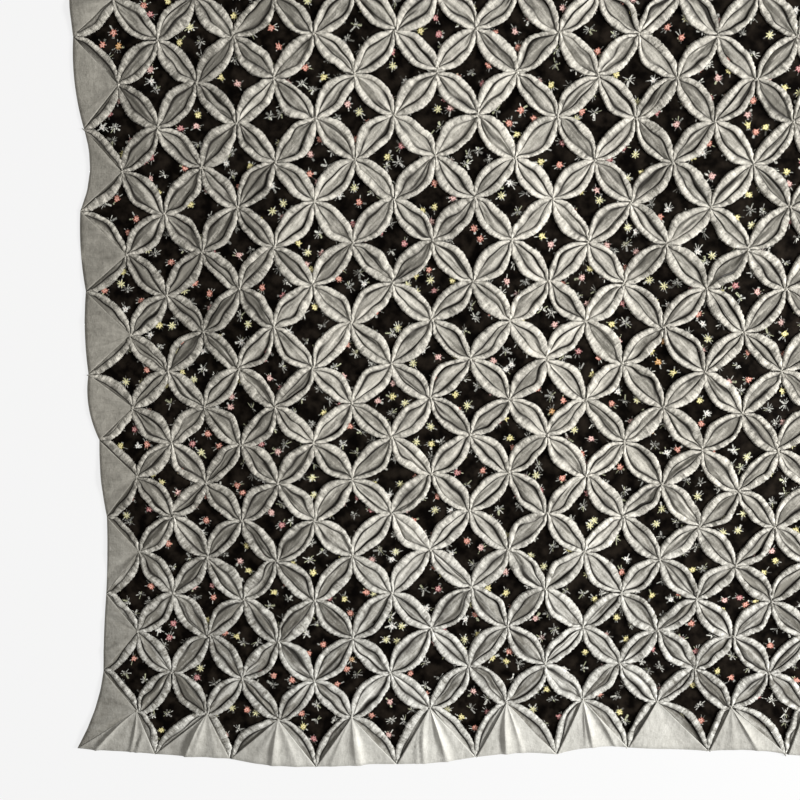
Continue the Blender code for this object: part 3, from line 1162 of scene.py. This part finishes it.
# %% [markdown]
# ## What the finishes share
#
# All three finishes are matt cloth or thread with a bump. Their values that are the same all over are set
# on the shader itself, and only what changes over the cloth is wired.

# %% Shared parts of a finish
SHEEN_ROUGHNESS = 0.5
THREAD_PITCH = 0.5 * MM


def finish(name, constants):
    """A new material, its node tree and its shader, with what is the same all over it."""
    material = bpy.data.materials.new(name)
    material.use_nodes = True
    shader = material.node_tree.nodes["Principled BSDF"]
    for socket, value in constants.items():
        shader.inputs[socket].default_value = value
    return material, material.node_tree, shader


def cloth(name, roughness, specular, sheen):
    constants = {"Roughness": roughness, "Specular IOR Level": specular, "Sheen Weight": sheen}
    return finish(name, {**constants, "Sheen Roughness": SHEEN_ROUGHNESS})


def remembered(tree, name, out="Fac"):
    return Wire(tree).node("ShaderNodeAttribute", {"attribute_name": name}, out=out)


def object_place(tree):
    return Wire(tree).node("ShaderNodeTexCoord", out="Object")


def plain_weave(place):
    """The over and under of threads that cross: high and low by turns, like a chessboard."""
    warp, weft, _ = place.parts()
    per_metre = 2 * math.pi / THREAD_PITCH
    return (warp * per_metre).sine() * (weft * per_metre).sine()


def feed(shader, name, wire):
    wire.tree.links.new(wire.socket, shader.inputs[name])


def bumped(shader, height, distance):
    made = height.node("ShaderNodeBump", sockets={"Height": height, "Distance": distance}, out="Normal")
    feed(shader, "Normal", made)


# %% [markdown]
# ## Warm grey cotton
#
# The ground is a soft plain weave that has been handled and washed, a warm grey with faint mottling
# where the threads are thick and thin. Painted light makes it lighter on the tops of the rolls, painted
# shade makes it duller down in the hollows, and the gathers across the rolls and the bands along the
# hollows are painted light and dark as well as bumped. No two petals took the dye quite alike. A painted
# pool of light makes the middle of the quilt lighter and its left side darker, painted light makes its
# grey lighter and cooler towards the bottom, and broad upright swathes are lighter or darker at random.
# The colour could be painted as a picture, but nearly all of it follows from things each point already
# remembers, its place on the cloth and how far up the roll it is. The weave itself is only a bump. Each
# noise below has its scale for a metre of cloth, its detail and, where it isn't 0.5, its roughness. A
# stretch below 1 draws a noise out along that direction. Where a tone has two values, the first is for
# the hollow and the second for the top of the roll. The two values of a share are for calm cloth and for
# busy cloth.

# %% Looks of the grey cotton
GREY_LIGHT = (0.72, 0.685, 0.60, 1)
# The lighter, cooler grey of the painted light towards the bottom.
GREY_COOL_PAINTED_LIGHT = (0.74, 0.73, 0.675, 1)
GREY_DULL = (0.17, 0.16, 0.135, 1)
# CREASE_SHADE is the near black colour of the painted shade.
CREASE_SHADE = (0.02, 0.017, 0.013, 1)

BLOTCHES = (70, 4, 0.6)
MOTTLING = (210, 3, 0.6)
FLECKS = (520, 2, 0.6)
SLUBS = (900, 2)
SLUBS_ALONG = (0.12, 1, 1)
SLUBS_ACROSS = (1, 0.12, 1)
GATHERS = (190, 3, 0.6)
GATHER_STRETCH = (1, 0.25, 1)
BANDS = (170, 2)
BAND_STRETCH = (0.16, 1, 1)
BROAD_SWATHES = (8, 2)
SWATHE_STRETCH = (1, 0.35, 1)

# A painted pool of light: lighter across the middle of the quilt and darker to its left.
PAINTED_LIGHT_RISE = (-0.5, -0.15)
PAINTED_LIGHT_FALL = (-0.05, 0.3)
PAINTED_LIGHT_LOSS = 0.75
PAINTED_LIGHT_AT_BOTTOM = (-0.35, -0.7)
PLAIN_CALM = 0.8
BLOTCH_SHARE = (0.3, 1)
CRUMPLE_SHARE = (0.4, 1)
# Painted shade in the hollows and painted light on the tops of the rolls.
HOLLOW_SHADE_ROLL_LIGHT = (0.17, 0.53)
SWATHE_TONE = 0.5
PAINTED_LIGHT_TONE = 0.32
PAINTED_LIGHT_MEAN = 0.4
BLOTCH_TONE = 0.8
SLUB_TONE = 0.3
MOTTLE_TONE = (0.5, 1.2)
FLECK_TONE = (0.5, 1)
# Painted light and shade of the gathers on the rolls and the bands in the hollows.
GATHER_PAINTED_SHADE = 2.3
BAND_PAINTED_SHADE = 1.6
DYE_TONE = (0.38, 0.16)

WEAVE_BUMP = 0.12
SLUB_BUMP = 0.5
FLECK_BUMP = 2.6
MOTTLE_BUMP = 3.2
BLOTCH_BUMP = 8
GATHER_BUMP = 10
BAND_BUMP = 11
COTTON_BUMP_DEPTH = 0.18 * MM

# %% [markdown]
# ## How light the grey is
#
# The tone goes from 0, dull, to 1, light, and every noise moves it up or down from its own mean. Plain
# cloth, as in the hem's triangles and the back, is calmer than the worked petals, and a roll is busier
# than a hollow. The painted shade that each point remembers darkens the result last.

# %% Grey cotton
grey, tree, shader = cloth("grey cotton", roughness=0.86, specular=0.25, sheen=0.12)
weave = remembered(tree, "weave", "Vector")
here = object_place(tree)
roll = remembered(tree, "roll")
crease = remembered(tree, "crease")
blotch = weave.noise(*BLOTCHES)
mottle = weave.noise(*MOTTLING)
slubs = weave.stretched(SLUBS_ALONG).noise(*SLUBS) + weave.stretched(SLUBS_ACROSS).noise(*SLUBS)
gathers = weave.stretched(GATHER_STRETCH).noise(*GATHERS)
bands = weave.stretched(BAND_STRETCH).noise(*BANDS)
# Broad swathes, drawn out upright, make the grey lighter or darker at random.
broad_swathes = here.stretched(SWATHE_STRETCH).noise(*BROAD_SWATHES)
flecks = weave.noise(*FLECKS)
busy = 1 - PLAIN_CALM * remembered(tree, "plain")
x, y, _ = here.parts()
# Painted pool of light, lighter in the middle and darker to the left.
painted_light = x.between(*PAINTED_LIGHT_RISE) * (1 - PAINTED_LIGHT_LOSS * x.between(*PAINTED_LIGHT_FALL))
fine = roll.from_to(*MOTTLE_TONE) * (mottle - 0.5) + roll.from_to(*FLECK_TONE) * (flecks - 0.5)
# Painted light and shade of the gathers and bands, which the bump also raises.
painted_wrinkle_shade = GATHER_PAINTED_SHADE * roll * (gathers - 0.5) + BAND_PAINTED_SHADE * (1 - roll) * (bands - 0.5)
tone = roll.from_to(*HOLLOW_SHADE_ROLL_LIGHT) + SWATHE_TONE * (broad_swathes - 0.5) + PAINTED_LIGHT_TONE * (painted_light - PAINTED_LIGHT_MEAN)
tone = tone + busy.from_to(*BLOTCH_SHARE) * (BLOTCH_TONE * (blotch - 0.5) + SLUB_TONE * (slubs - 1))
tone = tone + busy * fine + busy * painted_wrinkle_shade + roll.from_to(*DYE_TONE) * remembered(tree, "dye")
# Painted light: the grey turns lighter and cooler towards the bottom.
light = y.between(*PAINTED_LIGHT_AT_BOTTOM).mixed(GREY_LIGHT, GREY_COOL_PAINTED_LIGHT)
ground = tone.clamped().mixed(GREY_DULL, light)
# Painted shade: the remembered darkening mixes the colour towards near black.
feed(shader, "Base Color", crease.clamped().mixed(ground, CREASE_SHADE))

wrinkles = busy * (GATHER_BUMP * roll * gathers + BAND_BUMP * (1 - roll) * bands)
crumples = busy.from_to(*CRUMPLE_SHARE) * (FLECK_BUMP * flecks + MOTTLE_BUMP * mottle)
bump = WEAVE_BUMP * plain_weave(weave) + SLUB_BUMP * slubs + BLOTCH_BUMP * blotch
bumped(shader, bump + crumples + wrinkles, COTTON_BUMP_DEPTH)
print("nodes in the grey cotton:", len(tree.nodes))

# %% [markdown]
# ## Black print
#
# The patches are cut from a black cotton lawn scattered with small sprigs: a loose cluster of leaf
# strokes, about half of them with a small round flower beside it. A picture of the cloth would do, but
# the repeat is simple enough to work out. A Voronoi texture deals the cloth into cells, one for each
# sprig. Each cell gives a middle and three random numbers, which turn, colour and brighten its sprig.
# Sizes within a sprig are in millimetres.

# %% Places of the sprigs
SPRIG_PITCH = 22.5 * MM
SPRIG_SPREAD = 0.7


def sprig_places(cut):
    """For each point, its place in mm from the middle of its sprig, turned at random, and the draws."""
    scaled = cut.vector("SCALE")
    scaled.socket.node.inputs["Scale"].default_value = 1 / SPRIG_PITCH
    sockets = {"Vector": scaled, "Scale": 1, "Randomness": SPRIG_SPREAD}
    middle = cut.node("ShaderNodeTexVoronoi", {"voronoi_dimensions": "2D"}, sockets, "Position")
    draws = Wire(cut.tree, middle.socket.node.outputs["Color"]).parts()
    sockets = {"Vector": scaled.vector("SUBTRACT", middle), "Angle": draws[0] * 2 * math.pi}
    across, up, _ = cut.node("ShaderNodeVectorRotate", {"rotation_type": "Z_AXIS"}, sockets).parts()
    return across * (SPRIG_PITCH / MM), up * (SPRIG_PITCH / MM), draws


# %% [markdown]
# ## Leaf strokes
#
# The strokes are drawn by their angle round the sprig's middle, and a White Noise texture gives each its
# own length and shade, and leaves a few out. A sine of the angle keeps them from standing as evenly as
# the spokes of a wheel.

# %% Strokes
STROKES = 9
SHORTEST_STROKE = 4
LONGEST_STROKE = 10.4
STROKE_HALF_WIDTH = 0.95
STROKE_CORE = 0.35
STROKE_END = 0.9
SPRIG_HEART = (0.5, 1)
UNEVENNESS = 0.3
LEFT_OUT = (0.16, 0.2)
SEED_STEP = 57


def brush_strokes(angle, distance, draws):
    """Strokes of uneven length round the sprig's middle, as a mask, with a draw for each stroke."""
    uneven = angle + UNEVENNESS * (2 * angle + 2 * math.pi * draws[1]).sine()
    turn = (uneven / (2 * math.pi) + 0.5 + draws[2]) * STROKES
    number = turn.maths("FLOOR").maths("FLOORED_MODULO", STROKES)
    seed = angle.node("ShaderNodeCombineXYZ", sockets={"X": number, "Y": draws[0] * SEED_STEP})
    drawn = angle.node("ShaderNodeTexWhiteNoise", {"noise_dimensions": "2D"}, {"Vector": seed}, "Color")
    length, shade, shown = drawn.parts()
    aside = (turn.maths("FRACT") - 0.5).maths("ABSOLUTE") * distance * (2 * math.pi / STROKES)
    reach = length.from_to(SHORTEST_STROKE, LONGEST_STROKE)
    inside = (reach - distance).between(0, STROKE_END) * distance.between(*SPRIG_HEART)
    return aside.between(STROKE_HALF_WIDTH, STROKE_CORE) * inside * shown.between(*LEFT_OUT), shade


# %% [markdown]
# ## Flowers, stars and colours
#
# A flower is a disc whose edge waves five times round, with a pale ring and a dark eye. Near it the
# strokes take its colour and pass for its petals. About one sprig in eight never has a flower, but a small
# star of rays. The ramps hold their colours without blending, so each stroke and flower has one of a few.
# The rim of each patch, which lies under the rolls, is left unprinted, so that no sprig can glow through a
# crease. An ink is how well its colour covers what lies under it.

# %% Looks of the print
FLOWER_PLACE = (-1.2, -0.8)
FLOWER_RADIUS = 3.0
FLOWER_WAVE = 0.8
FLOWER_LOBES = 5
FLOWER_EDGE = 0.4
FLOWER_CHANCE = (0.44, 0.46)
FLOWER_DRAW = (5.3, 3.1)
PETAL_ZONE = (5.6, 4.0)
RING_RADIUS = 1.7
RING_EDGE = (0.55, 0.25)
EYE_EDGE = (0.95, 0.6)
STAR_KIND = 0.88
KIND_EDGE = 0.01
STAR_RADIUS = 3.4
STAR_WAVE = 2.1
STAR_EDGE = 0.6
STAR_RAYS = 7

BLACK = (0.0014, 0.0009, 0.0006, 1)
BLACK_LIGHTER = (0.0145, 0.011, 0.008, 1)
STAR_COLOUR = (0.80, 0.76, 0.42, 1)
RING_COLOUR = (0.85, 0.80, 0.72, 1)
EYE_COLOUR = (0.30, 0.12, 0.06, 1)
STROKE_COLOURS = (
    (0, (0.72, 0.71, 0.64, 1)),
    (0.3, (0.34, 0.34, 0.31, 1)),
    (0.5, (0.55, 0.56, 0.38, 1)),
    (0.62, (0.18, 0.175, 0.155, 1)),
    (0.8, (0.50, 0.49, 0.45, 1)),
)
FLOWER_COLOURS = (
    (0, (0.68, 0.29, 0.22, 1)),
    (0.26, (0.72, 0.44, 0.40, 1)),
    (0.42, (0.54, 0.22, 0.22, 1)),
    (0.54, (0.80, 0.72, 0.32, 1)),
    (0.72, (0.76, 0.75, 0.70, 1)),
    (0.86, (0.78, 0.42, 0.15, 1)),
)
STROKE_INK = (0.5, 1)
STAR_INK = (0.55, 1)
FLOWER_INK = 0.95
FLOWER_SPECKLE = (0.6, 1)
RING_INK = 0.35
EYE_INK = 0.7
SPECKLES = (560, 1)
SPECKLE_EDGE = (0.36, 0.5)
LIGHTER_PATCHES = (60, 3)
LIGHTER_PATCH_EDGE = (0.35, 0.75)
OPEN_EDGE = (0.1, 0.5)

LAWN_WEAVE_BUMP = 0.1
PUCKERS = (180, 3)
PUCKER_BUMP = 2.5
SAGS = (45, 2)
SAG_BUMP = 4
LAWN_BUMP_DEPTH = 0.14 * MM


def constant_ramp(wire, stops):
    settings = {"stops": stops, "interpolation": "CONSTANT"}
    return wire.node("ShaderNodeValToRGB", settings, {"Fac": wire}, out="Color")


# %% [markdown]
# ## Where each thing is printed
#
# A mask is 1 where its part of the sprig is printed and 0 elsewhere. Strokes and flowers are speckled,
# as the ink misses the tops of some threads.

# %% Masks of the print
black, tree, shader = cloth("black print", roughness=0.8, specular=0.02, sheen=0)
cut = remembered(tree, "cut", "Vector")
across, up, draws = sprig_places(cut)
_, kind, brightness = draws
distance = (across * across + up * up).maths("SQRT")
angle = up.maths("ARCTAN2", across)
strokes, shade = brush_strokes(angle, distance, draws)
speckled = cut.noise(*SPECKLES).between(*SPECKLE_EDGE)
strokes = strokes * speckled
flower_across, flower_up = across - FLOWER_PLACE[0], up - FLOWER_PLACE[1]
reach = (flower_across * flower_across + flower_up * flower_up).maths("SQRT")
flower_edge = FLOWER_RADIUS + FLOWER_WAVE * (flower_up.maths("ARCTAN2", flower_across) * FLOWER_LOBES).sine()
drawn = (kind * FLOWER_DRAW[0] + brightness * FLOWER_DRAW[1]).maths("FRACT")
has_flower = drawn.between(*FLOWER_CHANCE) * kind.between(STAR_KIND, STAR_KIND - KIND_EDGE)
flower = (flower_edge - reach).between(0, FLOWER_EDGE) * has_flower * speckled.from_to(*FLOWER_SPECKLE)
eye = reach.between(*EYE_EDGE) * flower
ring = (reach - RING_RADIUS).maths("ABSOLUTE").between(*RING_EDGE) * flower
star_edge = STAR_RADIUS + STAR_WAVE * (angle * STAR_RAYS).sine()
star = (star_edge - distance).between(0, STAR_EDGE) * kind.between(STAR_KIND, STAR_KIND + KIND_EDGE)

# %% [markdown]
# ## One colour over another
#
# The colours go on as a printer lays them, over a black that is lighter in soft patches: strokes,
# star, flower, its ring and its eye.

# %% Colours of the print
# The black is lighter in soft random patches.
unprinted = cut.noise(*LIGHTER_PATCHES).between(*LIGHTER_PATCH_EDGE).mixed(BLACK, BLACK_LIGHTER)
flower_colour = constant_ramp(kind, FLOWER_COLOURS)
petal_part = reach.between(*PETAL_ZONE) * has_flower
stroke_colour = petal_part.mixed(constant_ramp(shade, STROKE_COLOURS), flower_colour)
print_colour = (strokes * brightness.from_to(*STROKE_INK)).mixed(unprinted, stroke_colour)
print_colour = (star * strokes.from_to(*STAR_INK)).mixed(print_colour, STAR_COLOUR)
print_colour = (flower * FLOWER_INK).mixed(print_colour, flower_colour)
print_colour = (ring * RING_INK).mixed(print_colour, RING_COLOUR)
print_colour = (eye * EYE_INK).mixed(print_colour, EYE_COLOUR)
in_view = remembered(tree, "open").between(*OPEN_EDGE)
feed(shader, "Base Color", in_view.mixed(unprinted, print_colour))
bump = LAWN_WEAVE_BUMP * plain_weave(cut) + PUCKER_BUMP * cut.noise(*PUCKERS)
bumped(shader, bump + SAG_BUMP * cut.noise(*SAGS), LAWN_BUMP_DEPTH)
print("nodes in the black print:", len(tree.nodes))

# %% [markdown]
# ## Thread
#
# Quilting thread is much the same grey as the cloth but smoother. Its twist is a fine slanted wave.

# %% Grey thread
TWIST_PITCH = 0.6 * MM
TWIST_DEPTH = 0.05 * MM
THREAD_DARK = (0.40, 0.38, 0.33, 1)
THREAD_LIGHT = (0.56, 0.53, 0.47, 1)

thread, tree, shader = cloth("grey thread", roughness=0.6, specular=0.25, sheen=0.05)
x, y, z = object_place(tree).parts()
twist = ((x + y + z) * (2 * math.pi / TWIST_PITCH)).sine()
feed(shader, "Base Color", (0.5 + 0.5 * twist).mixed(THREAD_DARK, THREAD_LIGHT))
bumped(shader, twist, TWIST_DEPTH)

# %% [markdown]
# ## Put the finishes on
#
# Each piece was given the name of its finish when it was made, so a short table is enough to put the
# three finishes on all of them.

# %% Finish every piece
finish_of = {"grey_cotton": grey, "black_print": black, "grey_thread": thread}
for made in pieces:
    made.data.materials.append(finish_of[made["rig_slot"]])
counts = [sum(len(face.vertices) - 2 for face in made.data.polygons) for made in pieces]
print("triangles:", sum(counts), "in all, and at most", max(counts), "in a piece")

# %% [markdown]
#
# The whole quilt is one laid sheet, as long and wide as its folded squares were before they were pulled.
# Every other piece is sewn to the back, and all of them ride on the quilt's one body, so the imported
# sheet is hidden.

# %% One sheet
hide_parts("quilt")

# %% [markdown]
# ## Floor, light and camera
#
# The quilt lies on a pale floor and is seen from nearly straight above, from a little left of and below
# its middle. Its lower left corner is in the picture, and its far edges are outside it. A soft round lamp
# stands low on the right, so that every roll and fold turns a lit side to it, and a pale sky fills the
# rest. The floor glows a little, so that it stays pale away from the lamp.

# %% Stage
FLOOR_SIZE = 40
FLOOR_DROP = 0.3 * MM
FLOOR_COLOUR = (0.1, 0.1, 0.1, 1)
FLOOR_GLOW = (1, 1, 1, 1)
FLOOR_GLOW_STRENGTH = 0.797
FLOOR_ROUGHNESS = 0.95
KEY_PLACE = Vector((3.0, -0.35, 1.62))
KEY_AIM = Vector((-0.1, -0.1, 0))
KEY_SIZE = 0.9
KEY_WATTS = 241
SKY = (1.0, 0.985, 0.96, 1)
SKY_STRENGTH = 0.42
CAMERA_PLACE = Vector((-0.1606, -0.1058, 1.4393))
CAMERA_TURN = (-7.83, 1.29, -0.14)
LENS = 50
SENSOR_WIDTH = 36

scene = bpy.context.scene
mesh = bmesh.new()
bmesh.ops.create_grid(mesh, x_segments=1, y_segments=1, size=FLOOR_SIZE / 2)
bmesh.ops.translate(mesh, vec=(0, 0, -FLOOR_DROP), verts=mesh.verts)
data = mesh_data("floor", mesh)
constants = {"Base Color": FLOOR_COLOUR, "Roughness": FLOOR_ROUGHNESS, "Emission Color": FLOOR_GLOW}
pale, _, _ = finish("pale floor", {**constants, "Emission Strength": FLOOR_GLOW_STRENGTH})
data.materials.append(pale)
floor = bpy.data.objects.new("floor", data)
scene.collection.objects.link(floor)

lamp = bpy.data.lights.new("key", "AREA")
lamp.shape = "DISK"
lamp.size = KEY_SIZE
lamp.energy = KEY_WATTS
key = bpy.data.objects.new("key", lamp)
key.location = KEY_PLACE
key.rotation_euler = (KEY_PLACE - KEY_AIM).to_track_quat("Z", "Y").to_euler()
scene.collection.objects.link(key)

world = bpy.data.worlds.new("sky")
world.use_nodes = True
world.node_tree.nodes["Background"].inputs["Color"].default_value = SKY
world.node_tree.nodes["Background"].inputs["Strength"].default_value = SKY_STRENGTH
scene.world = world

lens = bpy.data.cameras.new("camera")
lens.lens = LENS
lens.sensor_width = SENSOR_WIDTH
camera = bpy.data.objects.new("camera", lens)
camera.location = CAMERA_PLACE
camera.rotation_euler = [math.radians(angle) for angle in CAMERA_TURN]
scene.collection.objects.link(camera)
scene.camera = camera
scene.view_settings.view_transform = "Standard"
